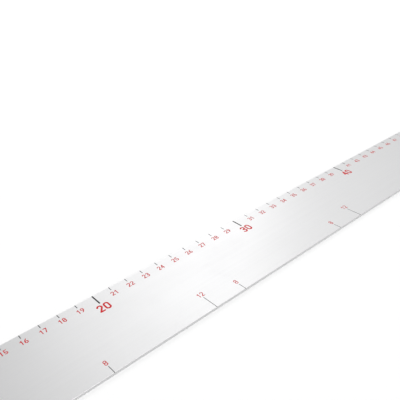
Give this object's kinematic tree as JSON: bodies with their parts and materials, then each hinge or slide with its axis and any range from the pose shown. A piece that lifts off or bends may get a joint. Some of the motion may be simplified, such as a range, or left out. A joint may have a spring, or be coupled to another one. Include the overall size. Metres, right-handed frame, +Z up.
{
  "type": "flat metal rule",
  "caption": "Straight satin metal rule with enamel-filled centimetre scale on one edge, centred reference marks on the other and a hanging hole at one end.",
  "frame": {"origin": "middle of the flat underside, on the surface the rule lies on", "axes": "+X along the rule towards the 60 cm end, +Y across it towards the scale edge, +Z up out of the marked face"},
  "size_m": [0.6, 0.05, 0.0015],
  "materials": {
    "satin_metal": "satin, fine lengthwise grain",
    "black_enamel": "filled enamel, semi-matt",
    "red_enamel": "filled enamel, semi-matt"
  },
  "bodies": {
    "root": {"blade": "satin_metal", "centimetre_ticks": "black_enamel", "tens_ticks": "black_enamel", "short_reference_ticks": "black_enamel", "long_reference_ticks": "black_enamel", "centimetre_numerals": "red_enamel", "tens_numerals": "red_enamel", "short_reference_labels": "red_enamel", "long_reference_labels": "red_enamel"}
  },
  "joints": []
}
